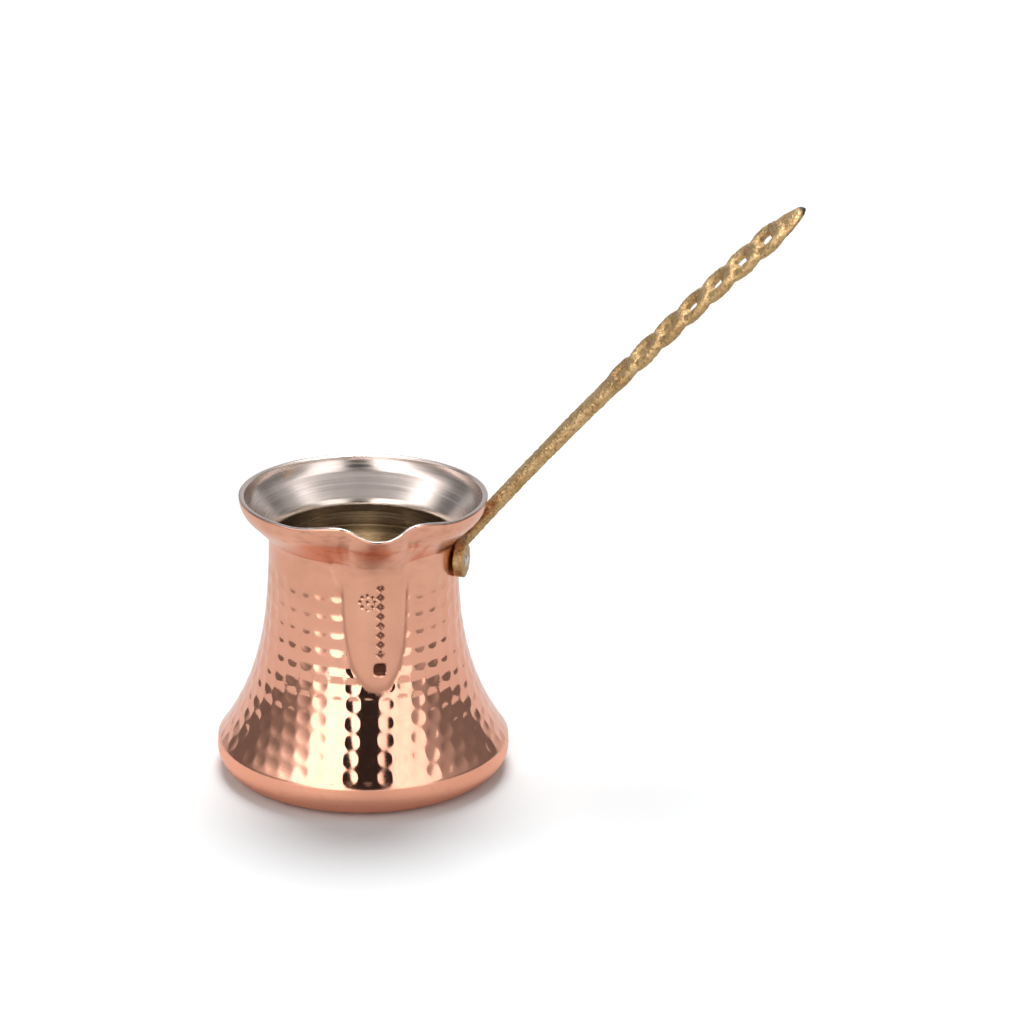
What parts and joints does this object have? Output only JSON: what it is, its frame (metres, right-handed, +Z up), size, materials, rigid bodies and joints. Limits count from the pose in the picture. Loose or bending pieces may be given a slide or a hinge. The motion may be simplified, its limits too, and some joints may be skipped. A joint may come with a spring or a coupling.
{
  "type": "turkish coffee pot cezve",
  "caption": "Hammered copper Turkish coffee pot with a wide base, narrow neck, tinned inside, pulled pouring lip and a riveted cast brass handle with pierced openwork.",
  "frame": {"origin": "centre of the underside, on the pot's own axis, where it rests on the table or the stove", "axes": "+Z up along the pot's axis; the pouring lip points to -Y; the handle rises over +X"},
  "size_m": [0.1798, 0.09, 0.1738],
  "materials": {
    "copper": "polished hand-hammered copper, satin at the neck and base band",
    "tin": "wiped tin with fine turning marks",
    "cast_brass": "sand-cast brass, grainy, rubbed bright on the edges",
    "rivet": "peened, satin"
  },
  "bodies": {
    "root": {"copper_body": "copper", "tin_lining": "tin", "handle": "cast_brass", "front_rivet": "rivet", "rear_rivet": "rivet"}
  },
  "joints": []
}
